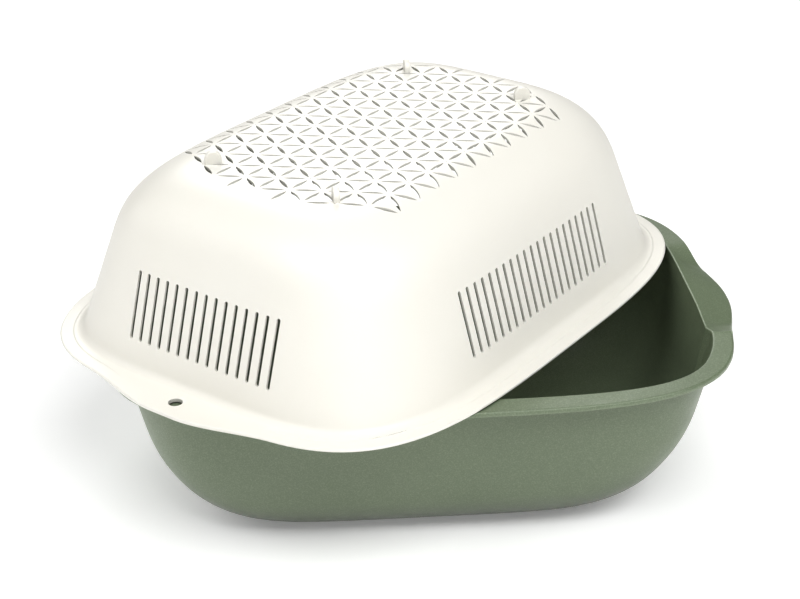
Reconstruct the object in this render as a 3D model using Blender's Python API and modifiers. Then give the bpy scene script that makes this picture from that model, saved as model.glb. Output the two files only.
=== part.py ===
"""Oval wash basin with its drain basket turned over and set skewed on the rim as a hood.

Two loose plastic mouldings. The basin is an oval-rectangular bowl with a wide flat rim that swells
into a sloping hand grip at each end. The basket nests in it the right way up; here it lies face
down, so its slotted walls stand over the basin and its bottom plate and feet are on top.

Metres, +Z up. The origin is the centre of the basin's flat underside and +X runs along the basin.
"""

import math

import bmesh
import bpy
from mathutils import Matrix, Vector

MM = 0.001

# --- Both mouldings ---------------------------------------------------------------------------
WALL = 1.8 * MM  # moulded wall thickness
REST_GAP = 0.3 * MM  # clearance between the basket's flange and the basin's rim
GRIP_SPAN = 58.0 * MM  # half width over which an end grip swells out of a flange

# --- Basin ------------------------------------------------------------------------------------
BASIN_HEIGHT = 96.0 * MM  # underside to the top of the rim
BASIN_RIM = (160.0 * MM, 120.0 * MM)  # half length and half width, without the grips
BASIN_RIM_POWERS = (3.75, 3.9)  # superellipse powers along X and Y
BASIN_GRIP_REACH = 9.0 * MM  # how far a grip swells beyond the end of the rim
BASIN_GRIP_FLAT = 2.0 * MM  # half width of the straight part of a grip's edge
BASIN_BODY = (148.6 * MM, 109.4 * MM)  # outside of the body just under the rim
BASIN_BODY_POWERS = (4.4, 4.9)
BASIN_DRAFT = (math.radians(9.5), math.radians(16.5))  # lean of the end walls and side walls
BASIN_FLOOR_SWEEP = (72.6 * MM, 39.1 * MM)  # radius from end wall and side wall into the floor
BASIN_STRAIGHT = 20.0 * MM  # depth below the rim where the sweeps begin
RIM_FILLET = 1.0 * MM  # turn from the body into the rim's underside
LIP_DROP = 2.6 * MM  # height of the turned-down edge of the rim
LIP_FILLET = 0.4 * MM  # turn from the rim's underside into the lip

# The grips slope down from the basin's wall to their outer edge, which is lower than the rim.
GRIP_DROP = 6.6 * MM
WALL_SHARE = 0.1  # share of the drop that a grip already has at the wall
GRIP_STEP = (-51.5 * MM, -32.0 * MM)  # Y where the outer edge starts and ends its ramp, in front
GRIP_SLOPE = (32.5 * MM, 56.7 * MM)  # Y where it starts and ends its rise, at the back

# --- Basket, in its own frame: origin in the middle of the flange's underside, plate upwards ---
BASKET_HEIGHT = 87.8 * MM  # flange underside to the outside of the bottom plate
BASKET_FLANGE = (160.7 * MM, 122.9 * MM)
BASKET_FLANGE_POWERS = (3.6, 4.0)
BASKET_GRIP_REACH = 9.2 * MM
BASKET_GRIP_FLAT = 7.3 * MM
BASKET_BODY = (147.9 * MM, 110.0 * MM)  # outside of the walls, at the flange
BASKET_BODY_POWERS = (4.4, 4.4)
BASKET_DRAFT = (math.radians(17.2), math.radians(16.1))
BASKET_SHOULDER = (33.7 * MM, 46.0 * MM)  # radius from end wall and side wall into the plate
BASKET_STRAIGHT = 46.0 * MM  # height above the flange where the shoulders begin
WALL_FOOT_FILLET = 4.0 * MM  # height of the turn from the walls into the flange
WALL_FOOT_SPREAD = 2.0 * MM  # how far the turn reaches out over the flange

SLOT_ENDS = (15.0 * MM, 48.0 * MM)  # heights above the flange's underside
SLOT_WIDTH = 2.0 * MM
SLOT_PITCH = 6.2 * MM
END_SLOTS = 15  # slots in each end wall
SIDE_SLOTS = 21  # slots in each side wall
END_CUT = (118.0 * MM, 156.0 * MM)  # reach of the cutters along X, through an end wall
SIDE_CUT = (78.0 * MM, 118.0 * MM)  # reach of the cutters along Y, through a side wall

# The plate's perforations: a leaf-shaped slot on every side of a triangular grid's triangles.
GRID_PITCH = 15.9 * MM
GRID_ROWS = 4  # rows on either side of the middle row
GRID_DOTS = (11, 12)  # dots, or corners of the triangles, in an even row and in an odd row
GRID_SHIFT = (2.6 * MM, 0.9 * MM)  # the grid's middle, from the middle of the basket
# Steps from a dot to the middles of its six sides: a quarter of the pitch across, half a row up.
GRID_SIDES = ((2, 0), (1, 1), (-1, 1), (-2, 0), (-1, -1), (1, -1))
GRID_CORNER = 28  # no leaf has more steps than this across and up together, from the middle
LEAF_LENGTH = 11.8 * MM
LEAF_WIDTH = 2.1 * MM
LEAF_CUT = (67.8 * MM, 92.8 * MM)  # reach of the leaf cutters along Z, through the plate

HANG_HOLE_RADIUS = 3.5 * MM
HANG_HOLE_AT = -159.2 * MM  # X of the hanging hole, in one grip only

FOOT_AT = (81.5 * MM, 38.3 * MM)  # the four fin feet stand at the corners of this rectangle
FOOT_RADIUS = 4.2 * MM
FOOT_THICKNESS = 3.0 * MM
FOOT_RISE = 6.7 * MM  # top of a foot above the plate
FOOT_TURN = math.radians(45.0)  # a foot's plane, turned from the basket's long axis

# --- Pose: the basket lies on the rim, turned and shifted from its nesting place ---------------
BASKET_TURN = math.radians(49.7)
BASKET_SHIFT = (-18.6 * MM, 20.1 * MM)

# --- Mesh density ------------------------------------------------------------------------------
# Y of an outline's first points, at the turns of the grips, and how many segments follow them.
BASIN_STATIONS = ([y * MM for y in (0.0, 12.0, 24.0, 32.0, 38.0, 44.0, 51.5, 58.0)], 12)
BASKET_STATIONS = ([y * MM for y in (0.0, 15.0, 30.0, 44.0, 58.0)], 9)
SWEEP_RINGS = 6  # rings in the sweep from a wall into the floor or plate
LOW_REACH = 0.5  # share of a wall's straight part at which it has a section of its own
DENSE = 400  # steps used to measure a quarter outline
HOLE_SIDES = 20
FOOT_SIDES = 20


def smoothstep(value, start, end):
    """0 at start, 1 at end, level at both."""
    t = min(max((value - start) / (end - start), 0.0), 1.0)
    return t * t * (3.0 - 2.0 * t)


def quarter_outline(half, powers, stations, scale):
    """Points of a superellipse's first quarter, from +X to +Y.

    The first points lie at the stations' Y, so that steps and swells line up from ring to ring;
    the others stand closer where the outline turns.
    """
    a, b = half
    px, py = powers
    first, segments = stations
    points = [Vector((a * (1 - (y * scale / b) ** py) ** (1 / px), y * scale)) for y in first]
    start = math.asin((points[-1].y / b) ** (py / 2))
    dense = []
    for i in range(DENSE + 1):
        t = start + (math.pi / 2 - start) * i / DENSE
        dense.append(Vector((a * max(math.cos(t), 0.0) ** (2 / px), b * math.sin(t) ** (2 / py))))
    dense[-1].x = 0.0
    sides = [q - p for p, q in zip(dense, dense[1:])]
    length = sum(side.length for side in sides)
    turn = sides[0].angle(sides[-1])
    runs = [0.0]
    for before, side in zip(sides[:1] + sides, sides):
        runs.append(runs[-1] + side.length / length + before.angle(side) / turn)
    k = 0
    for i in range(1, segments):
        target = runs[-1] * i / segments
        while runs[k + 1] < target:
            k += 1
        share = (target - runs[k]) / (runs[k + 1] - runs[k])
        points.append(dense[k].lerp(dense[k + 1], share))
    return points + [dense[-1]]


def outline(half, powers, stations, scale=1.0):
    """A whole superellipse, counter-clockwise from +X, mirrored from one quarter."""
    quarter = quarter_outline(half, powers, stations, scale)
    upper = quarter + [Vector((-p.x, p.y)) for p in reversed(quarter[:-1])]
    return upper + [Vector((p.x, -p.y)) for p in reversed(upper[1:-1])]


def with_grips(points, reach, flat):
    """The outline with both its ends swollen outwards by reach."""
    swollen = []
    for p in points:
        swell = 1.0 - smoothstep(abs(p.y), flat, GRIP_SPAN)
        swollen.append(Vector((p.x + math.copysign(reach * swell, p.x), p.y)))
    return swollen


def level_ring(points, z):
    return [Vector((p.x, p.y, z)) for p in points]


def sweep_inset(reach, depth, draft, radius):
    """How far a wall leans in at this reach from its open end: straight, then an arc ending flat."""
    straight = depth - radius + radius * math.sin(draft)
    if reach <= straight:
        return math.tan(draft) * reach
    centre = math.tan(draft) * straight + radius * math.cos(draft)
    return centre - math.sqrt(max(radius**2 - (reach - depth + radius) ** 2, 0.0))


def body_outline(body, powers, stations, drafts, radii, reach, depth):
    """A hollow body's outside section at this reach from its open end."""
    half = [body[i] - sweep_inset(reach, depth, drafts[i], radii[i]) for i in (0, 1)]
    return outline(half, powers, stations, min(1.0, half[1] / body[1]))


def sweep_reaches(depth, straight):
    """Reaches of a body's sections: two up the wall, then ever closer towards the flat end."""
    reaches = [straight * LOW_REACH]
    for i in range(SWEEP_RINGS + 1):
        reaches.append(straight + (depth - straight) * math.sin(math.pi / 2 * i / SWEEP_RINGS))
    return reaches


def link(obj, collection):
    collection.objects.link(obj)
    return obj


def lofted(name, rings, floor_first):
    """An open surface through rings that run outwards or upwards, with a flat face over one end."""
    bm = bmesh.new()
    loops = [[bm.verts.new(co) for co in ring] for ring in rings]
    for lower, upper in zip(loops, loops[1:]):
        for i in range(len(lower)):
            j = (i + 1) % len(lower)
            bm.faces.new((lower[i], lower[j], upper[j], upper[i]))
    bm.faces.new(list(reversed(loops[0])) if floor_first else loops[-1])
    mesh = bpy.data.meshes.new(name)
    bm.to_mesh(mesh)
    bm.free()
    mesh.shade_smooth()
    return bpy.data.objects.new(name, mesh)


def add_wall(obj):
    """Gives an outside surface its wall, on the hollow side."""
    shell = obj.modifiers.new("wall", "SOLIDIFY")
    shell.thickness = WALL
    shell.offset = -1.0
    shell.use_even_offset = True


def add_boolean(obj, other, operation):
    boolean = obj.modifiers.new(other.name, "BOOLEAN")
    boolean.operation = operation
    boolean.object = other
    boolean.solver = "EXACT"


def set_material(obj, name, color, roughness):
    material = bpy.data.materials.new(name)
    material.use_nodes = True
    shader = material.node_tree.nodes["Principled BSDF"]
    shader.inputs["Base Color"].default_value = (*color, 1.0)
    shader.inputs["Roughness"].default_value = roughness
    shader.inputs["Metallic"].default_value = 0.0
    obj.data.materials.append(material)


def grip_drop(y):
    """How far the rim's outer edge lies below the rest of the rim at this Y."""
    ramp = min(max((y - GRIP_STEP[0]) / (GRIP_STEP[1] - GRIP_STEP[0]), 0.0), 1.0)
    return GRIP_DROP * ramp * (1.0 - smoothstep(y, *GRIP_SLOPE))


def rim_ring(points, z, share):
    """A ring of the rim, lowered across the grips by this share of the outer edge's drop."""
    return [Vector((p.x, p.y, z - share * grip_drop(p.y))) for p in points]


def make_basin():
    """The bowl: outside of floor and wall, then the rim's underside, then the inside of the lip."""
    under_rim = BASIN_HEIGHT - WALL
    rings = []
    for reach in reversed(sweep_reaches(under_rim, BASIN_STRAIGHT)):
        section = body_outline(
            BASIN_BODY, BASIN_BODY_POWERS, BASIN_STATIONS, BASIN_DRAFT, BASIN_FLOOR_SWEEP,
            reach, under_rim,
        )
        rings.append(level_ring(section, under_rim - reach))
    body_top = outline(BASIN_BODY, BASIN_BODY_POWERS, BASIN_STATIONS)
    rim_start = [size + RIM_FILLET for size in BASIN_BODY]
    rim_start = outline(rim_start, BASIN_BODY_POWERS, BASIN_STATIONS)
    rim_edge = outline(BASIN_RIM, BASIN_RIM_POWERS, BASIN_STATIONS)
    rim_edge = with_grips(rim_edge, BASIN_GRIP_REACH, BASIN_GRIP_FLAT)
    lip_inside = [p - p.normalized() * WALL for p in rim_edge]
    rim_end = [p - p.normalized() * (WALL + LIP_FILLET) for p in rim_edge]
    rings.append(rim_ring(body_top, under_rim - RIM_FILLET, WALL_SHARE))
    rings.append(rim_ring(rim_start, under_rim, WALL_SHARE))
    rings.append(rim_ring(rim_end, under_rim, 1.0))
    rings.append(rim_ring(lip_inside, under_rim - LIP_FILLET, 1.0))
    rings.append(rim_ring(lip_inside, BASIN_HEIGHT - LIP_DROP, 1.0))
    obj = lofted("wash_basin", rings, floor_first=True)
    add_wall(obj)
    set_material(obj, "sage_plastic", (0.27, 0.32, 0.24), 0.45)
    return obj


def make_basket_shell():
    """The upturned basket: top of the flange, outside of the walls, then the plate."""
    edge = outline(BASKET_FLANGE, BASKET_FLANGE_POWERS, BASKET_STATIONS)
    edge = with_grips(edge, BASKET_GRIP_REACH, BASKET_GRIP_FLAT)
    wall_foot = [size + WALL_FOOT_SPREAD for size in BASKET_BODY]
    wall_foot = outline(wall_foot, BASKET_BODY_POWERS, BASKET_STATIONS)
    rings = [level_ring(edge, WALL), level_ring(wall_foot, WALL)]
    reaches = [WALL + WALL_FOOT_FILLET] + sweep_reaches(BASKET_HEIGHT, BASKET_STRAIGHT)
    for reach in reaches:
        section = body_outline(
            BASKET_BODY, BASKET_BODY_POWERS, BASKET_STATIONS, BASKET_DRAFT, BASKET_SHOULDER,
            reach, BASKET_HEIGHT,
        )
        rings.append(level_ring(section, reach))
    obj = lofted("drain_basket", rings, floor_first=False)
    add_wall(obj)
    set_material(obj, "ivory_plastic", (0.90, 0.89, 0.84), 0.40)
    return obj


def helper(name, bm, cutters):
    """A cutter or a joined piece: seen as a wire outline, never rendered."""
    bmesh.ops.recalc_face_normals(bm, faces=bm.faces)
    mesh = bpy.data.meshes.new(name)
    bm.to_mesh(mesh)
    bm.free()
    obj = link(bpy.data.objects.new(name, mesh), cutters)
    obj.hide_render = True
    obj.display_type = "WIRE"
    return obj


def add_bar(bm, corners, axis, cut, place):
    """A bar over a flat outline, with its length along an axis from cut[0] to cut[1], then moved.

    A corner (a, b) lies at Y and Z for a bar along X, at X and Z along Y, and at X and Y along Z.
    """
    ends = []
    for reach in cut:
        loop = []
        for a, b in corners:
            co = {"X": (reach, a, b), "Y": (a, reach, b), "Z": (a, b, reach)}[axis]
            loop.append(bm.verts.new(Vector(co) + place))
        ends.append(loop)
    for i in range(len(corners)):
        j = (i + 1) % len(corners)
        bm.faces.new((ends[0][i], ends[0][j], ends[1][j], ends[1][i]))
    for loop in ends:
        bm.faces.new(loop)


def make_slot_cutters(cutters):
    bm = bmesh.new()
    low, high = SLOT_ENDS
    half = SLOT_WIDTH / 2
    corners = ((-half, low), (half, low), (half, high), (-half, high))
    for side in (-1, 1):
        for k in range(END_SLOTS):
            y = (k - (END_SLOTS - 1) / 2) * SLOT_PITCH
            add_bar(bm, corners, "X", [side * reach for reach in END_CUT], Vector((0.0, y, 0.0)))
        for k in range(SIDE_SLOTS):
            x = (k - (SIDE_SLOTS - 1) / 2) * SLOT_PITCH
            add_bar(bm, corners, "Y", [side * reach for reach in SIDE_CUT], Vector((x, 0.0, 0.0)))
    return helper("slot_cutters", bm, cutters)


def leaves():
    """(middle, turn) of the leaf on every side of the grid that ends in a dot, each once."""
    found = {}
    for row in range(-GRID_ROWS, GRID_ROWS + 1):
        count = GRID_DOTS[row % 2]
        for k in range(count):
            for side, (right, back) in enumerate(GRID_SIDES):
                across = 2 * (2 * k - count + 1) + right
                up = 2 * row + back
                if abs(across) + abs(up) > GRID_CORNER:
                    continue
                x = GRID_SHIFT[0] + across * GRID_PITCH / 4
                y = GRID_SHIFT[1] + up * GRID_PITCH * math.sqrt(3) / 4
                found[across, up] = (Vector((x, y, 0.0)), side % 3 * math.pi / 3)
    return found.values()


def make_leaf_cutters(cutters):
    """A four-cornered bar for each leaf, through the plate and the shoulder."""
    bm = bmesh.new()
    for middle, turn in leaves():
        tip = Vector((math.cos(turn), math.sin(turn))) * (LEAF_LENGTH / 2)
        bulge = Vector((-math.sin(turn), math.cos(turn))) * (LEAF_WIDTH / 2)
        add_bar(bm, (tip, bulge, -tip, -bulge), "Z", LEAF_CUT, middle)
    return helper("leaf_cutters", bm, cutters)


def make_hang_hole_cutter(cutters):
    bm = bmesh.new()
    bmesh.ops.create_cone(
        bm, segments=HOLE_SIDES, radius1=HANG_HOLE_RADIUS, radius2=HANG_HOLE_RADIUS,
        depth=WALL * 4, cap_ends=True, matrix=Matrix.Translation((HANG_HOLE_AT, 0.0, 0.0)),
    )
    return helper("hang_hole_cutter", bm, cutters)


def make_feet(cutters):
    """Four upright discs sunk part of the way into the plate; they belong to the basket's moulding."""
    bm = bmesh.new()
    centre_z = BASKET_HEIGHT + FOOT_RISE - FOOT_RADIUS
    for sx in (-1, 1):
        for sy in (-1, 1):
            plane = Matrix.Rotation(FOOT_TURN * sx * sy, 4, "Z") @ Matrix.Rotation(math.pi / 2, 4, "X")
            place = Matrix.Translation((sx * FOOT_AT[0], sy * FOOT_AT[1], centre_z))
            bmesh.ops.create_cone(
                bm, segments=FOOT_SIDES, radius1=FOOT_RADIUS, radius2=FOOT_RADIUS,
                depth=FOOT_THICKNESS, cap_ends=True, matrix=place @ plane,
            )
    return helper("fin_feet", bm, cutters)


def make_basket(cutters):
    obj = make_basket_shell()
    for piece in (
        make_slot_cutters(cutters), make_leaf_cutters(cutters), make_hang_hole_cutter(cutters),
    ):
        piece.parent = obj
        add_boolean(obj, piece, "DIFFERENCE")
    feet = make_feet(cutters)
    feet.parent = obj
    add_boolean(obj, feet, "UNION")
    obj.location = (*BASKET_SHIFT, BASIN_HEIGHT + REST_GAP)
    obj.rotation_euler = (0.0, 0.0, BASKET_TURN)
    return obj


def main():
    for obj in list(bpy.data.objects):
        bpy.data.objects.remove(obj, do_unlink=True)
    scene = bpy.context.scene
    parts = bpy.data.collections.new("wash_basin_with_drain_basket")
    cutters = bpy.data.collections.new("cutters")
    for collection in (parts, cutters):
        scene.collection.children.link(collection)
    link(make_basin(), parts)
    link(make_basket(cutters), parts)


main()
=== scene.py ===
"""Looks of the oval wash basin with its drain basket turned over on its rim as a hood.

Both mouldings are lofted as closed walls, outside and inside, from superellipse sections, in the
shared frame: metres, +Z up, origin at the middle of the basin's underside, +X along the basin.
The basket is made in its own frame, flange underside at z = 0, then turned onto the rim.
"""

import math

import bmesh
import bpy
import numpy as np
from mathutils import Matrix, Vector
from mathutils.bvhtree import BVHTree


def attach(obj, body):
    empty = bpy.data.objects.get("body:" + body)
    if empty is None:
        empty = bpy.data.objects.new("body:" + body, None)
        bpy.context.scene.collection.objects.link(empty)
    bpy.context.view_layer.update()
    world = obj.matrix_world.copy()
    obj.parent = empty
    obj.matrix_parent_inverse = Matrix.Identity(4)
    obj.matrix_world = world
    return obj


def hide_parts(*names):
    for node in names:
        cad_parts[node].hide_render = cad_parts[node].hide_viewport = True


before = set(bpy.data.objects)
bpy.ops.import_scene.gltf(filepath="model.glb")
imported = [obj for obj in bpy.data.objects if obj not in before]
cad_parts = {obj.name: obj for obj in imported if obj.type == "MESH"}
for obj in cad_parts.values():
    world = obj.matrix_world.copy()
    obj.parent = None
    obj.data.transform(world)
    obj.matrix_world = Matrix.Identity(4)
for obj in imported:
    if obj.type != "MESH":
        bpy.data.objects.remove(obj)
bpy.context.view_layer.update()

MM = 0.001

# --- Both mouldings ---------------------------------------------------------------------------
WALL = 1.8 * MM
REST_GAP = 0.3 * MM
GRIP_SPAN = 58.0 * MM  # half width over which an end grip swells out of a flange

# --- Basin ------------------------------------------------------------------------------------
BASIN_HEIGHT = 96.0 * MM
BASIN_RIM = (160.0 * MM, 120.0 * MM)
BASIN_RIM_POWERS = (3.75, 3.9)
BASIN_GRIP_REACH = 9.0 * MM
BASIN_GRIP_FLAT = 2.0 * MM
BASIN_BODY = (148.6 * MM, 109.4 * MM)
BASIN_BODY_POWERS = ((4.4, 4.9), (5.7, 4.8))  # just under the rim, and at the floor
BASIN_DRAFT = (math.radians(9.5), math.radians(16.5))
BASIN_FLOOR_SWEEP = (72.6 * MM, 39.1 * MM)
RIM_EDGE_ROUND = 0.7 * MM  # inner edge of the rim
RIM_OUTER_ROUND = 1.1 * MM  # turn from the rim's top into the lip
RIM_FILLET = 1.0 * MM
LIP_DROP = 2.6 * MM
LIP_ROUND = 0.4 * MM

# The grips slope down from the basin's wall to their outer edge, which is lower than the rim.
GRIP_WIDTH = 22.0 * MM  # wall to outer edge
GRIP_DROP = 6.6 * MM  # how far the outer edge is lowered
GRIP_STEP = -51.5 * MM  # Y where the lowering starts, in front
GRIP_RAMP = (7.5 * MM, 19.5 * MM)  # length of the ramp down, at the wall and at the outer edge
GRIP_SLOPE = (32.5 * MM, 56.7 * MM)  # Y between which the grip rises again, at the back
GRIP_BEAD = (0.3 * MM, 0.8 * MM)  # height and half width of the bead at each end of the ramp
# The wall's top stands further out in front of a grip's ramp, and further in behind it.
JOG_OUT = (1.7 * MM, -78.0 * MM, -52.0 * MM)  # distance, and Y where it starts and is whole
JOG_IN = (0.7 * MM, -44.0 * MM, -14.0 * MM)  # distance, and Y where it is whole and ends
JOG_TURN = (-51.5 * MM, -45.0 * MM)  # Y between which one turns into the other
JOG_DEPTH = 45.0 * MM  # depth below the rim where the wall is even again

# --- Basket -----------------------------------------------------------------------------------
BASKET_HEIGHT = 87.8 * MM
BASKET_FLANGE = (160.7 * MM, 122.9 * MM)
BASKET_FLANGE_POWERS = (3.6, 4.0)
BASKET_GRIP_REACH = 9.2 * MM
BASKET_GRIP_FLAT = 7.3 * MM
BASKET_BODY = (147.9 * MM, 110.0 * MM)
BASKET_BODY_POWERS = ((4.47, 4.52), (4.19, 4.29))  # at the flange, and at the plate
BASKET_DRAFT = (math.radians(17.2), math.radians(16.1))
BASKET_SHOULDER = (33.7 * MM, 46.0 * MM)
WALL_FOOT_FILLET = 4.0 * MM
BASKET_SKIN = 1.2 * MM  # thickness of its walls and plate; the flange is thicker
FLANGE_TOP_ROUND = 0.7 * MM
FLANGE_UNDER_ROUND = 0.4 * MM
BAND_WIDTH = 6.6 * MM  # outer band of the flange, a little lower than the rest
BAND_STEP = 0.35 * MM
BAND_STEP_RUN = 0.5 * MM
BAND_FADE = (36.0 * MM, 58.0 * MM)  # half widths between which the step fades out at a grip

SLOT_ENDS = (15.0 * MM, 48.0 * MM)
SLOT_WIDTH = 2.0 * MM
SLOT_PITCH = 6.2 * MM
END_SLOTS = 15
SIDE_SLOTS = 21
END_CUT = (118.0 * MM, 156.0 * MM)
SIDE_CUT = (78.0 * MM, 118.0 * MM)

HANG_HOLE_RADIUS = 3.5 * MM
HANG_HOLE_AT = -159.2 * MM

# The plate's perforations: a leaf-shaped slot on every side of a triangular grid's triangles.
GRID_PITCH = 15.9 * MM
GRID_ROWS = 4  # rows on either side of the middle row
GRID_DOTS = (11, 12)  # dots in an even row and in an odd row
GRID_SHIFT = (2.6 * MM, 0.9 * MM)
# Steps from a dot to the middles of its six sides: a quarter of the pitch across, half a row up.
GRID_SIDES = ((2, 0), (1, 1), (-1, 1), (-2, 0), (-1, -1), (1, -1))
GRID_CORNER = 28  # no leaf has more steps than this across and up together, from the middle
LEAF_LENGTH = 11.8 * MM
LEAF_WIDTH = 2.1 * MM
LEAF_SEGMENTS = 6  # along each side of a leaf
LEAF_CUT = (BASKET_HEIGHT - 20.0 * MM, BASKET_HEIGHT + 5.0 * MM)  # heights cut through
DIMPLE_RADIUS = 0.65 * MM
DIMPLE_DEPTH = 0.5 * MM

FOOT_AT = (81.5 * MM, 38.3 * MM)
FOOT_RADIUS = 4.3 * MM
FOOT_THICKNESS = 3.0 * MM
FOOT_RISE = 6.7 * MM
FOOT_TURN = math.radians(45.0)
FOOT_ROUND = 0.45 * MM
FOOT_SINK = 0.8 * MM
FOOT_STEPS = 32  # round the top of a foot

BASKET_TURN = math.radians(49.7)
BASKET_SHIFT = (-18.6 * MM, 20.1 * MM)

# --- Studio -----------------------------------------------------------------------------------
WORLD_STRENGTH = 0.06
FLOOR_GLOW = 0.25  # a little light of the pale floor's own
EDGE_HIGHLIGHT = 0.75  # how far a convex edge goes towards the lighter colour, a painted highlight
CAMERA_PLACE = (-0.0644, -0.8039, 0.5129)
CAMERA_TURN = (62.6, 0.47, -4.29)  # degrees
CAMERA_LENS = 77.07  # mm, on a 36 mm sensor
VIEW_GAMMA = 0.85
VIEW_EXPOSURE = 0.0
HOLLOW_SAMPLES = 8  # rays that judge how open a surface is, for the painted shade in its hollows
HOLLOW_DISTANCE = 90.0 * MM
HOLLOW_RANGE = (0.15, 0.55)  # openness between which a surface goes from the full painted shade to its plain colour
BOX_SIZE = 1.4
BOX_DISTANCE = 2.2
MIDDLE = Vector((0.0, 0.0, 0.1))
SOFT_BOXES = (  # name, degrees round from the front towards +X, degrees up, watts
    ("key_left", 300.0, 48.0, 19.0),
    ("key_right", 52.0, 45.0, 20.0),
    ("back", 182.0, 34.0, 18.0),
    ("low_left", 250.0, 15.0, 6.0),
)
NEAR_BOX = ((0.25, -1.05, 1.55), 0.9, 15.0)  # soft box over the front: where, size and watts

# --- Mesh density -----------------------------------------------------------------------------
STATIONS = np.concatenate([np.arange(0, 30, 2), np.arange(30, 54, 0.75), [54.0, 56.0, 58.0]]) * MM
CORNER_SEGMENTS = 44
WALL_RINGS = 8  # rings down the straight part of the basin's wall
BASKET_WALL_RINGS = 18
SWEEP_RINGS = 34  # rings from there into the floor or plate
BASIN_TURN = 18.0 * MM  # depth below the rim where the sweep begins
BASKET_TURN_UP = (7.5 * MM, 50.0 * MM)  # heights where the straight wall starts and ends
STRIP = 0.8 * MM  # narrow strip inside the edge of a flat face, which keeps its shading flat
NARROW_STRIP = 0.5 * MM  # the same beside a small round
THIN_STRIP = 0.4 * MM
BODY_START = 1.2 * MM  # depth of the first ring of the basin's outside, below its fillet
BODY_ROUND = 0.3 * MM  # the middle of that fillet
RIM_SHARES = (0.04, 0.15, 0.3, 0.45, 0.6, 0.75, 0.88)  # rings across the rim, wall to edge
QUARTER_TURN = (0.0, 45.0, 90.0)
FINE_QUARTER_TURN = (0.0, 15.0, 30.0, 45.0, 60.0, 75.0, 90.0)
WALL_FOOT_TURN = (0.0, 8.0, 20.0, 34.0, 50.0, 64.0, 74.0)
DENSE = 6000
SHARP_ANGLE = math.radians(38.0)
FLAT_SIDES = 20  # a face with at least this many sides is a flat one and is shaded flat


def smoothstep(value, start, end):
    t = np.clip((value - start) / (end - start), 0.0, 1.0)
    return t * t * (3.0 - 2.0 * t)


def quarter(half, powers, scale):
    """A superellipse's first quarter from +X to +Y: first at the stations' Y, then evenly."""
    a, b = half
    px, py = powers
    y = STATIONS * scale
    x = a * (1.0 - (y / b) ** py) ** (1.0 / px)
    t = np.linspace(math.asin((y[-1] / b) ** (py / 2.0)), math.pi / 2.0, DENSE)
    dense_x = a * np.clip(np.cos(t), 0.0, 1.0) ** (2.0 / px)
    dense_y = b * np.sin(t) ** (2.0 / py)
    dense_x[-1] = 0.0
    run = np.concatenate([[0.0], np.cumsum(np.hypot(np.diff(dense_x), np.diff(dense_y)))])
    at = np.linspace(0.0, run[-1], CORNER_SEGMENTS + 1)[1:]
    return (
        np.concatenate([x, np.interp(at, run, dense_x)]),
        np.concatenate([y, np.interp(at, run, dense_y)]),
    )


def outline(half, powers, scale=1.0):
    """A whole superellipse as an (n, 2) array, counter-clockwise from +X."""
    x, y = quarter(half, powers, scale)
    xs = np.concatenate([x, -x[-2::-1], -x[1:], x[-2:0:-1]])
    ys = np.concatenate([y, y[-2::-1], -y[1:], -y[-2:0:-1]])
    return np.stack([xs, ys], 1)


def with_grips(points, reach, flat):
    swell = 1.0 - smoothstep(np.abs(points[:, 1]), flat, GRIP_SPAN)
    grown = points.copy()
    grown[:, 0] += np.sign(points[:, 0]) * reach * swell
    return grown


def inward(points, distance):
    """The outline moved inwards along its own normals."""
    along = np.roll(points, -1, 0) - np.roll(points, 1, 0)
    normal = np.stack([along[:, 1], -along[:, 0]], 1)
    normal /= np.linalg.norm(normal, axis=1, keepdims=True)
    return points - normal * distance


def ring(points, z):
    """A ring of 3-D points; z is one height or one for each point."""
    return np.column_stack([points, np.broadcast_to(z, len(points))])


def sweep_inset(reach, depth, draft, radius):
    """How far a wall leans in at this reach from its open end: straight, then an arc."""
    straight = depth - radius + radius * math.sin(draft)
    if reach <= straight:
        return math.tan(draft) * reach
    centre = math.tan(draft) * straight + radius * math.cos(draft)
    return centre - math.sqrt(max(radius**2 - (reach - depth + radius) ** 2, 0.0))


def fillet_swell(z, face, radius, draft):
    """How far a wall stands out at height z, where it turns into a flange's face above it."""
    centre = face + radius
    if z >= centre - radius * math.sin(draft):
        return 0.0
    arc = math.sqrt(max(radius**2 - (centre - z) ** 2, 0.0))
    return radius / math.cos(draft) - arc - math.tan(draft) * (centre - z)


def body_half(body, drafts, radii, depth, reach, skin):
    """Half sizes of a hollow body's section; skin is 0 outside and the wall's thickness inside."""
    return [
        body[i]
        - skin / math.cos(drafts[i])
        - sweep_inset(reach, depth - skin, drafts[i], radii[i] - skin)
        for i in (0, 1)
    ]


def blend_powers(powers, share):
    return [powers[0][i] + (powers[1][i] - powers[0][i]) * share for i in (0, 1)]


def loft(name, rings):
    """A closed mesh through rings, with one flat face over the first and one over the last."""
    bm = bmesh.new()
    loops = [[bm.verts.new(co) for co in points] for points in rings]
    for near, far in zip(loops, loops[1:]):
        for i in range(len(near)):
            j = (i + 1) % len(near)
            bm.faces.new((near[i], near[j], far[j], far[i]))
    bm.faces.new(list(reversed(loops[0])))
    bm.faces.new(loops[-1])
    bmesh.ops.recalc_face_normals(bm, faces=bm.faces)
    mesh = bpy.data.meshes.new(name)
    bm.to_mesh(mesh)
    bm.free()
    return bpy.data.objects.new(name, mesh)


def link(obj):
    bpy.context.scene.collection.objects.link(obj)
    return obj


# --- Basin ------------------------------------------------------------------------------------
def rim_height(y, share):
    """The rim's height at these Y, from the wall (share 0) to the outer edge (share 1)."""
    length = GRIP_RAMP[0] + (GRIP_RAMP[1] - GRIP_RAMP[0]) * share
    ramp = np.clip((y - GRIP_STEP) / length, 0.0, 1.0)
    drop = GRIP_DROP * share * ramp * (1.0 - smoothstep(y, *GRIP_SLOPE))
    height, half_width = GRIP_BEAD
    for line in (GRIP_STEP, GRIP_STEP + length):
        drop = drop - height * np.exp(-(((y - line) / half_width) ** 2))
    return BASIN_HEIGHT - height - drop


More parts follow.
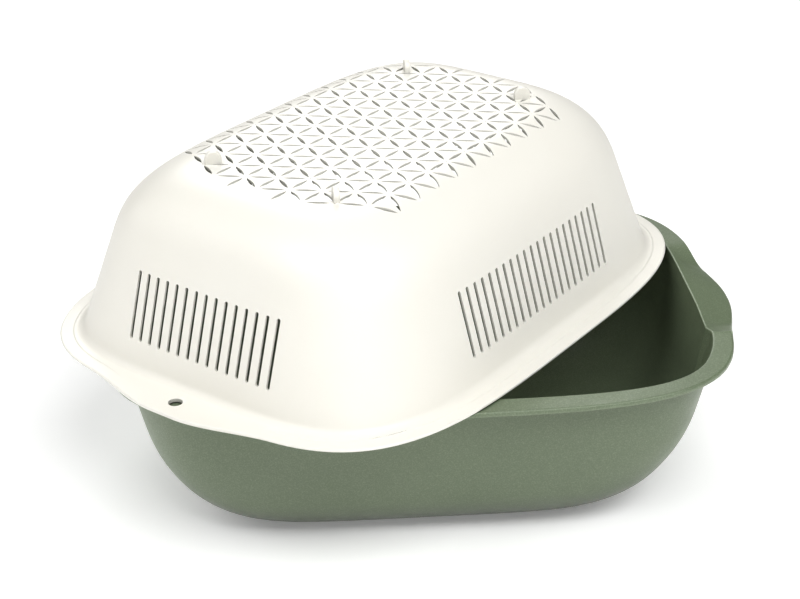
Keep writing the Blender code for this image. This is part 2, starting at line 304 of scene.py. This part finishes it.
def grip_jog(points, depth):
    """The section with its ends moved out in front of the grips' ramps and in behind them."""
    y = points[:, 1]
    turn = smoothstep(y, *JOG_TURN)
    out = JOG_OUT[0] * smoothstep(y, *JOG_OUT[1:]) * (1.0 - turn)
    back = JOG_IN[0] * (1.0 - smoothstep(y, *JOG_IN[1:])) * turn
    moved = points.copy()
    moved[:, 0] += np.sign(points[:, 0]) * (out - back) * (1.0 - smoothstep(depth, 0.0, JOG_DEPTH))
    return moved


def basin_section(reach, skin):
    """The wall's section at this reach below the rim's underside, and its jog at the grips."""
    depth = BASIN_HEIGHT - WALL
    half = body_half(BASIN_BODY, BASIN_DRAFT, BASIN_FLOOR_SWEEP, depth, reach, skin)
    powers = blend_powers(BASIN_BODY_POWERS, min(max(reach / depth, 0.0), 1.0))
    points = outline(half, powers, min(1.0, half[1] / BASIN_BODY[1]))
    return grip_jog(points, max(reach, 0.0))


def wall_reaches(first, turn, last, straight_rings, turn_rings):
    """Reaches down or up a wall: evenly to the turn, then ever closer to the flat end."""
    reaches = list(np.linspace(first, turn, straight_rings))
    for i in range(1, turn_rings + 1):
        reaches.append(turn + (last - turn) * math.sin(math.pi / 2.0 * i / turn_rings))
    return reaches


def make_basin():
    """From the inside floor up the wall, over the rim, round the lip and down the outside."""
    under = BASIN_HEIGHT - WALL
    inside = []
    for reach in wall_reaches(0.0, BASIN_TURN, under - WALL, WALL_RINGS + 1, SWEEP_RINGS):
        inside.append(ring(basin_section(reach, WALL), under - reach))
    inside.append(ring(inward(inside[-1][:, :2], STRIP), WALL))
    rings = list(reversed(inside))

    inner = basin_section(-THIN_STRIP, WALL)
    for angle in (0.0, 22.5, 45.0, 67.5, 90.0):
        turn = math.radians(angle)
        points = inward(inner, -RIM_EDGE_ROUND * (1.0 - math.cos(turn)))
        top = rim_height(points[:, 1], 0.0)
        rings.append(ring(points, top - RIM_EDGE_ROUND * (1.0 - math.sin(turn))))
    start = inward(inner, -RIM_EDGE_ROUND)
    edge = with_grips(outline(BASIN_RIM, BASIN_RIM_POWERS), BASIN_GRIP_REACH, BASIN_GRIP_FLAT)
    for share in RIM_SHARES:
        points = start + (edge - start) * share
        rings.append(ring(points, rim_height(points[:, 1], share)))
    y = edge[:, 1]
    for angle in FINE_QUARTER_TURN:
        turn = math.radians(angle)
        distance = RIM_OUTER_ROUND * (1.0 - math.sin(turn))
        top = rim_height(y, 1.0 - distance / GRIP_WIDTH)
        rings.append(ring(inward(edge, distance), top - RIM_OUTER_ROUND * (1.0 - math.cos(turn))))
    top = rim_height(y, 1.0)
    lip_end = top - LIP_DROP
    for angle in QUARTER_TURN:
        turn = math.radians(angle)
        points = inward(edge, LIP_ROUND * (1.0 - math.cos(turn)))
        rings.append(ring(points, lip_end + LIP_ROUND * (1.0 - math.sin(turn))))
    rings.append(ring(inward(edge, WALL - LIP_ROUND), lip_end))
    rings.append(ring(inward(edge, WALL), lip_end + LIP_ROUND))
    rings.append(ring(inward(edge, WALL + LIP_ROUND), top - WALL))

    body = basin_section(0.0, 0.0)
    for out, down in (
        (RIM_FILLET + NARROW_STRIP, 0.0), (RIM_FILLET, 0.0), (BODY_ROUND, BODY_ROUND),
    ):
        rings.append(ring(inward(body, -out), under - down))
    for reach in wall_reaches(BODY_START, BASIN_TURN, under, WALL_RINGS, SWEEP_RINGS):
        rings.append(ring(basin_section(reach, 0.0), under - reach))
    rings.append(ring(inward(rings[-1][:, :2], STRIP), 0.0))
    return loft("basin_moulding", rings)


# --- Basket -----------------------------------------------------------------------------------
def basket_section(z, skin, face):
    """The wall's section at height z; face is the height of the flange's face that it meets."""
    half = body_half(BASKET_BODY, BASKET_DRAFT, BASKET_SHOULDER, BASKET_HEIGHT, z, skin)
    for i in (0, 1):
        half[i] += fillet_swell(z, face, WALL_FOOT_FILLET + WALL - face, BASKET_DRAFT[i])
    powers = blend_powers(BASKET_BODY_POWERS, min(z / BASKET_HEIGHT, 1.0))
    return outline(half, powers, min(1.0, half[1] / BASKET_BODY[1]))


def basket_wall(skin, face):
    """Rings from the flange up the wall and over the shoulder to the flat plate."""
    radius = WALL_FOOT_FILLET + WALL - face
    heights = []
    for angle in WALL_FOOT_TURN:
        heights.append(face + radius * (1.0 - math.cos(math.radians(angle))))
    heights += wall_reaches(
        *BASKET_TURN_UP, BASKET_HEIGHT - skin, BASKET_WALL_RINGS, SWEEP_RINGS
    )
    rings = [ring(basket_section(z, skin, face), z) for z in heights]
    rings.insert(0, ring(inward(rings[0][:, :2], -NARROW_STRIP), face))
    rings.append(ring(inward(rings[-1][:, :2], STRIP), BASKET_HEIGHT - skin))
    return rings


def make_basket_shell():
    """From the outside of the plate down to the flange, round its edge and up the inside."""
    edge = with_grips(
        outline(BASKET_FLANGE, BASKET_FLANGE_POWERS), BASKET_GRIP_REACH, BASKET_GRIP_FLAT
    )
    step = BAND_STEP * smoothstep(np.abs(edge[:, 1]), *BAND_FADE)
    rings = list(reversed(basket_wall(0.0, WALL)))
    for distance, share in (
        (BAND_WIDTH + BAND_STEP_RUN * 1.5, 0.0),
        (BAND_WIDTH + BAND_STEP_RUN, 0.0),
        (BAND_WIDTH + BAND_STEP_RUN * 0.5, 0.5),
        (BAND_WIDTH, 1.0),
        (BAND_WIDTH - BAND_STEP_RUN, 1.0),
        (FLANGE_TOP_ROUND + THIN_STRIP, 1.0),
    ):
        rings.append(ring(inward(edge, distance), WALL - step * share))
    for angle in (0.0, 30.0, 60.0, 90.0):
        turn = math.radians(angle)
        points = inward(edge, FLANGE_TOP_ROUND * (1.0 - math.sin(turn)))
        rings.append(ring(points, WALL - step - FLANGE_TOP_ROUND * (1.0 - math.cos(turn))))
    for angle in QUARTER_TURN:
        turn = math.radians(angle)
        points = inward(edge, FLANGE_UNDER_ROUND * (1.0 - math.cos(turn)))
        rings.append(ring(points, FLANGE_UNDER_ROUND * (1.0 - math.sin(turn))))
    rings.append(ring(inward(edge, FLANGE_UNDER_ROUND + THIN_STRIP), 0.0))
    rings += basket_wall(BASKET_SKIN, 0.0)
    return loft("basket_moulding", rings)


def add_prism(bm, points, low, high, matrix):
    """A prism over a flat outline of (x, y) points, from z = low to z = high, then placed."""
    loops = [[bm.verts.new(matrix @ Vector((x, y, z))) for x, y in points] for z in (low, high)]
    count = len(points)
    for i in range(count):
        j = (i + 1) % count
        bm.faces.new((loops[0][i], loops[0][j], loops[1][j], loops[1][i]))
    bm.faces.new(list(reversed(loops[0])))
    bm.faces.new(loops[1])


def stadium(width, length, segments):
    """A round-ended slot's outline, long along Y."""
    points = []
    for i in range(2 * segments + 2):
        upper = i <= segments
        turn = math.pi * (i if upper else i - 1) / segments
        y = (length - width) / 2.0 * (1.0 if upper else -1.0)
        points.append((width / 2.0 * math.cos(turn), width / 2.0 * math.sin(turn) + y))
    return points


def leaf_outline():
    """A leaf along X with a point at each end, between two arcs."""
    half, bulge = LEAF_LENGTH / 2.0, LEAF_WIDTH / 2.0
    radius = (half**2 + bulge**2) / (2.0 * bulge)
    span = math.asin(half / radius)
    points = []
    for side in (-1.0, 1.0):
        for i in range(LEAF_SEGMENTS):
            turn = span * (2.0 * i / LEAF_SEGMENTS - 1.0)
            x = radius * math.sin(turn)
            y = radius * math.cos(turn) - (radius - bulge)
            points.append((-side * x, side * y))
    return points


def perforation_grid():
    """The grid's dots as (x, y), and (x, y, turn) of the leaf on every side that ends in a dot."""
    dots, leaves = [], {}
    for row in range(-GRID_ROWS, GRID_ROWS + 1):
        count = GRID_DOTS[row % 2]
        for k in range(count):
            steps = [(2 * (2 * k - count + 1), 2 * row)]
            steps += [(steps[0][0] + dx, steps[0][1] + dy) for dx, dy in GRID_SIDES]
            points = [
                (
                    GRID_SHIFT[0] + across * GRID_PITCH / 4.0,
                    GRID_SHIFT[1] + up * GRID_PITCH * math.sqrt(3.0) / 4.0,
                )
                for across, up in steps
            ]
            dots.append(points[0])
            for side in range(6):
                across, up = steps[side + 1]
                if abs(across) + abs(up) <= GRID_CORNER:
                    leaves[across, up] = (*points[side + 1], math.pi / 3.0 * (side % 3))
    return dots, list(leaves.values())


def cutter_object(name, bm):
    bmesh.ops.recalc_face_normals(bm, faces=bm.faces)
    mesh = bpy.data.meshes.new(name)
    bm.to_mesh(mesh)
    bm.free()
    return link(bpy.data.objects.new(name, mesh))


def make_perforations(shell):
    """Leaves through the plate and shoulder, a dimple at each dot, slots and the hanging hole."""
    source = bmesh.new()
    source.from_mesh(shell.data)
    tree = BVHTree.FromBMesh(source)
    source.free()
    bm = bmesh.new()
    outline_points = leaf_outline()
    dots, leaves = perforation_grid()
    for x, y, turn in leaves:
        place = Matrix.Translation((x, y, 0.0)) @ Matrix.Rotation(turn, 4, "Z")
        add_prism(bm, outline_points, *LEAF_CUT, place)
    for x, y in dots:
        hit = tree.ray_cast(Vector((x, y, 0.2)), Vector((0.0, 0.0, -1.0)))[0]
        bmesh.ops.create_cone(
            bm,
            segments=12,
            radius1=DIMPLE_RADIUS * 0.4,
            radius2=DIMPLE_RADIUS * 1.6,
            depth=DIMPLE_DEPTH * 2.0,
            cap_ends=True,
            matrix=Matrix.Translation(hit),
        )
    slot = stadium(SLOT_WIDTH, SLOT_ENDS[1] - SLOT_ENDS[0], 8)
    middle = sum(SLOT_ENDS) / 2.0
    stand = Matrix.Rotation(math.pi / 2.0, 4, "X")
    for sign in (-1.0, 1.0):
        for k in range(END_SLOTS):
            y = (k - (END_SLOTS - 1) / 2.0) * SLOT_PITCH
            side = Matrix.Rotation(sign * math.pi / 2.0, 4, "Z")
            place = Matrix.Translation((0.0, y, middle)) @ side @ stand
            add_prism(bm, slot, END_CUT[0], END_CUT[1], place)
        for k in range(SIDE_SLOTS):
            x = (k - (SIDE_SLOTS - 1) / 2.0) * SLOT_PITCH
            side = Matrix.Rotation(0.0 if sign < 0.0 else math.pi, 4, "Z")
            place = Matrix.Translation((x, 0.0, middle)) @ side @ stand
            add_prism(bm, slot, SIDE_CUT[0], SIDE_CUT[1], place)
    bmesh.ops.create_cone(
        bm,
        segments=48,
        radius1=HANG_HOLE_RADIUS,
        radius2=HANG_HOLE_RADIUS,
        depth=WALL * 4.0,
        cap_ends=True,
        matrix=Matrix.Translation((HANG_HOLE_AT, 0.0, 0.0)),
    )
    return cutter_object("perforations", bm)


def foot_outline(inset):
    """A fin's half-round outline, standing on the plate and sunk a little into it."""
    radius = FOOT_RADIUS - inset
    points = [(radius, -FOOT_SINK)]
    for i in range(FOOT_STEPS + 1):
        turn = math.pi * i / FOOT_STEPS
        points.append((radius * math.cos(turn), FOOT_RISE - FOOT_RADIUS + radius * math.sin(turn)))
    points.append((-radius, -FOOT_SINK))
    return points


def make_feet():
    """Four upright fins with round tops and rounded edges, sunk into the plate."""
    bm = bmesh.new()
    half = FOOT_THICKNESS / 2.0
    layers = []
    for angle in (0.0, 30.0, 60.0, 90.0):
        turn = math.radians(angle)
        layers.append(
            (half - FOOT_ROUND * (1.0 - math.sin(turn)), FOOT_ROUND * (1.0 - math.cos(turn)))
        )
    layers = [(-depth, inset) for depth, inset in reversed(layers)] + layers
    for sx in (-1.0, 1.0):
        for sy in (-1.0, 1.0):
            spot = Matrix.Translation((sx * FOOT_AT[0], sy * FOOT_AT[1], BASKET_HEIGHT))
            turn = Matrix.Rotation(FOOT_TURN * sx * sy, 4, "Z")
            place = spot @ turn @ Matrix.Rotation(math.pi / 2.0, 4, "X")
            loops = []
            for depth, inset in layers:
                corners = [Vector((x, y, depth)) for x, y in foot_outline(inset)]
                loops.append([bm.verts.new(place @ corner) for corner in corners])
            for near, far in zip(loops, loops[1:]):
                for i in range(len(near)):
                    j = (i + 1) % len(near)
                    bm.faces.new((near[i], near[j], far[j], far[i]))
            bm.faces.new(list(reversed(loops[0])))
            bm.faces.new(loops[-1])
    return cutter_object("fin_feet", bm)


def applied_boolean(obj, other, operation):
    """Cuts or joins other, then bakes the result into obj's mesh and deletes other."""
    boolean = obj.modifiers.new(other.name, "BOOLEAN")
    boolean.operation = operation
    boolean.object = other
    boolean.solver = "EXACT"
    graph = bpy.context.evaluated_depsgraph_get()
    mesh = bpy.data.meshes.new_from_object(obj.evaluated_get(graph))
    obj.modifiers.clear()
    obj.data = mesh
    bpy.data.objects.remove(other, do_unlink=True)


def finish_mesh(obj):
    """Smooth shading with crisp edges round every cut."""
    bm = bmesh.new()
    bm.from_mesh(obj.data)
    bmesh.ops.remove_doubles(bm, verts=bm.verts, dist=0.002 * MM)
    bmesh.ops.dissolve_degenerate(bm, edges=bm.edges, dist=0.001 * MM)
    for edge in bm.edges:
        edge.smooth = edge.calc_face_angle(0.0) < SHARP_ANGLE
    for face in bm.faces:
        face.smooth = len(face.verts) < FLAT_SIDES
    bm.to_mesh(obj.data)
    bm.free()


def make_basket():
    obj = link(make_basket_shell())
    cutters = make_perforations(obj)
    applied_boolean(obj, cutters, "DIFFERENCE")
    applied_boolean(obj, make_feet(), "UNION")
    finish_mesh(obj)
    place = Matrix.Translation((*BASKET_SHIFT, BASIN_HEIGHT + REST_GAP))
    obj.data.transform(place @ Matrix.Rotation(BASKET_TURN, 4, "Z"))
    return obj


# --- Materials --------------------------------------------------------------------------------
CLOUD_SCALE = 14.0
FLECK_SCALE = 1500.0
FLECK_RANGE = (0.45, 0.75)  # noise between which a fleck fades in
EDGE_HIGHLIGHT_RANGE = (0.52, 0.58)  # pointiness between which a convex edge gets its painted highlight
POLISH_SCALE = 60.0
POLISH_SPREAD = (-0.05, 0.06)  # how far the roughness strays from its middle value
GRAIN_SCALE = 1100.0
GRAIN_HEIGHT = 0.1 * MM
FINE_ROUGHNESS = 0.6  # of the finer noises


def noise(tree, coordinates, scale, detail, roughness=0.5):
    made = tree.nodes.new("ShaderNodeTexNoise")
    made.inputs["Scale"].default_value = scale
    made.inputs["Detail"].default_value = detail
    made.inputs["Roughness"].default_value = roughness
    tree.links.new(coordinates, made.inputs["Vector"])
    return made.outputs["Fac"]


def ramp(tree, value, low, high, from_low=0.3, from_high=0.7):
    """Maps a value to a range of values."""
    made = tree.nodes.new("ShaderNodeMapRange")
    made.inputs["From Min"].default_value = from_low
    made.inputs["From Max"].default_value = from_high
    made.inputs["To Min"].default_value = low
    made.inputs["To Max"].default_value = high
    tree.links.new(value, made.inputs["Value"])
    return made.outputs["Result"]


def mix(tree, share, first, second):
    """Mixes two colours, each a socket or an (r, g, b), by a socket or a number."""
    made = tree.nodes.new("ShaderNodeMix")
    made.data_type = "RGBA"
    for name, value in (("Factor", share), ("A", first), ("B", second)):
        socket = next(s for s in made.inputs if s.name == name and s.enabled)
        if isinstance(value, bpy.types.NodeSocket):
            tree.links.new(value, socket)
        elif isinstance(value, tuple):
            socket.default_value = (*value, 1.0)
        else:
            socket.default_value = value
    return next(s for s in made.outputs if s.enabled)


def painted_hollow_shade(tree, colour, depth):
    """The colour, darkened by this much where the surface sees little but the plastic around it:
    painted shade in hollows and corners.
    """
    occlusion = tree.nodes.new("ShaderNodeAmbientOcclusion")
    occlusion.samples = HOLLOW_SAMPLES
    occlusion.inputs["Distance"].default_value = HOLLOW_DISTANCE
    open_share = ramp(tree, occlusion.outputs["AO"], 0.0, 1.0, *HOLLOW_RANGE)
    painted_shade_colour = mix(tree, depth, colour, (0.0, 0.0, 0.0))
    return mix(tree, open_share, painted_shade_colour, colour)


def moulded_plastic(name, base, dark, fleck_and_highlight, rough, grain, speckle, specular, depth):
    """Satin moulded plastic: faint cloudiness, fine speckle, painted highlights on convex edges,
    painted shade in hollows and a fine grain.
    """
    material = bpy.data.materials.new(name)
    material.use_nodes = True
    tree = material.node_tree
    shader = tree.nodes["Principled BSDF"]
    shader.inputs["Specular IOR Level"].default_value = specular
    place = tree.nodes.new("ShaderNodeTexCoord").outputs["Object"]
    cloud = ramp(tree, noise(tree, place, CLOUD_SCALE, 2.0), 0.0, 1.0)
    colour = mix(tree, cloud, base, dark)
    flecks = noise(tree, place, FLECK_SCALE, 2.0, FINE_ROUGHNESS)
    fleck = ramp(tree, flecks, 0.0, speckle, *FLECK_RANGE)
    colour = mix(tree, fleck, colour, fleck_and_highlight)
    # Painted highlight: convex edges are lightened towards the fleck colour.
    edge = tree.nodes.new("ShaderNodeNewGeometry").outputs["Pointiness"]
    edge_highlight = ramp(tree, edge, 0.0, EDGE_HIGHLIGHT, *EDGE_HIGHLIGHT_RANGE)
    colour = mix(tree, edge_highlight, colour, fleck_and_highlight)
    # Painted shade: the colour darkens where the surface sees little but plastic around it.
    colour = painted_hollow_shade(tree, colour, depth)
    tree.links.new(colour, shader.inputs["Base Color"])
    smears = noise(tree, place, POLISH_SCALE, 4.0, FINE_ROUGHNESS)
    polish = ramp(tree, smears, rough + POLISH_SPREAD[0], rough + POLISH_SPREAD[1])
    tree.links.new(polish, shader.inputs["Roughness"])
    bump = tree.nodes.new("ShaderNodeBump")
    bump.inputs["Strength"].default_value = grain
    bump.inputs["Distance"].default_value = GRAIN_HEIGHT
    grains = noise(tree, place, GRAIN_SCALE, 3.0, FINE_ROUGHNESS)
    tree.links.new(grains, bump.inputs["Height"])
    tree.links.new(bump.outputs["Normal"], shader.inputs["Normal"])
    return material


# --- Stage ------------------------------------------------------------------------------------
def make_floor():
    bm = bmesh.new()
    bmesh.ops.create_grid(bm, x_segments=1, y_segments=1, size=20.0)
    mesh = bpy.data.meshes.new("floor")
    bm.to_mesh(mesh)
    bm.free()
    floor = link(bpy.data.objects.new("floor", mesh))
    material = bpy.data.materials.new("pale_floor")
    material.use_nodes = True
    shader = material.node_tree.nodes["Principled BSDF"]
    shader.inputs["Base Color"].default_value = (0.92, 0.92, 0.92, 1.0)
    shader.inputs["Roughness"].default_value = 0.9
    shader.inputs["Specular IOR Level"].default_value = 0.1
    shader.inputs["Emission Color"].default_value = (1.0, 1.0, 1.0, 1.0)
    shader.inputs["Emission Strength"].default_value = FLOOR_GLOW
    mesh.materials.append(material)


def make_world():
    """A faint even light all round; the soft boxes do the rest."""
    world = bpy.data.worlds.new("studio")
    bpy.context.scene.world = world
    world.use_nodes = True
    background = world.node_tree.nodes["Background"]
    background.inputs["Color"].default_value = (1.0, 1.0, 1.0, 1.0)
    background.inputs["Strength"].default_value = WORLD_STRENGTH


def add_lamp(name, place, size, energy):
    """A round soft box there, turned towards the object."""
    light = bpy.data.lights.new(name, "AREA")
    light.shape = "DISK"
    light.size = size
    light.energy = energy
    lamp = link(bpy.data.objects.new(name, light))
    lamp.location = place
    lamp.rotation_euler = (MIDDLE - place).to_track_quat("-Z", "Y").to_euler()


def add_soft_box(name, around, up, energy):
    """A soft box that way round the object, 0 at the front and 90 at +X, and that far up."""
    turn, lift = math.radians(around), math.radians(up)
    towards = Vector((math.sin(turn), -math.cos(turn), math.tan(lift))).normalized()
    add_lamp(name, MIDDLE + towards * BOX_DISTANCE, BOX_SIZE, energy)


def make_camera():
    data = bpy.data.cameras.new("camera")
    data.sensor_width = 36.0
    data.lens = CAMERA_LENS
    camera = link(bpy.data.objects.new("camera", data))
    camera.location = CAMERA_PLACE
    camera.rotation_euler = [math.radians(angle) for angle in CAMERA_TURN]
    bpy.context.scene.camera = camera


def main():
    basin = link(make_basin())
    finish_mesh(basin)
    basket = make_basket()
    # The last number of each is how far the painted shade in hollows darkens the colour.
    # The third colour of each serves the flecks and the painted highlight on convex edges.
    sage = moulded_plastic(
        "sage_satin_plastic", (0.178, 0.220, 0.142), (0.165, 0.205, 0.132), (0.42, 0.49, 0.36),
        0.34, 0.25, 0.30, 0.5, 0.72,
    )
    ivory = moulded_plastic(
        "ivory_satin_plastic", (0.865, 0.850, 0.790), (0.850, 0.832, 0.768), (0.90, 0.89, 0.84),
        0.40, 0.10, 0.15, 0.4, 0.75,
    )
    basin.data.materials.append(sage)
    basket.data.materials.append(ivory)
    for piece, body, cad_node, slot in (
        (basin, "basin", "wash_basin", "sage_plastic"),
        (basket, "basket", "drain_basket", "ivory_plastic"),
    ):
        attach(piece, body)
        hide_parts(cad_node)
    make_floor()
    make_world()
    for name, around, up, energy in SOFT_BOXES:
        add_soft_box(name, around, up, energy)
    place, size, energy = NEAR_BOX
    add_lamp("near_front", Vector(place), size, energy)
    make_camera()
    view = bpy.context.scene.view_settings
    view.view_transform = "Standard"
    view.look = "None"
    view.gamma = VIEW_GAMMA
    view.exposure = VIEW_EXPOSURE


main()
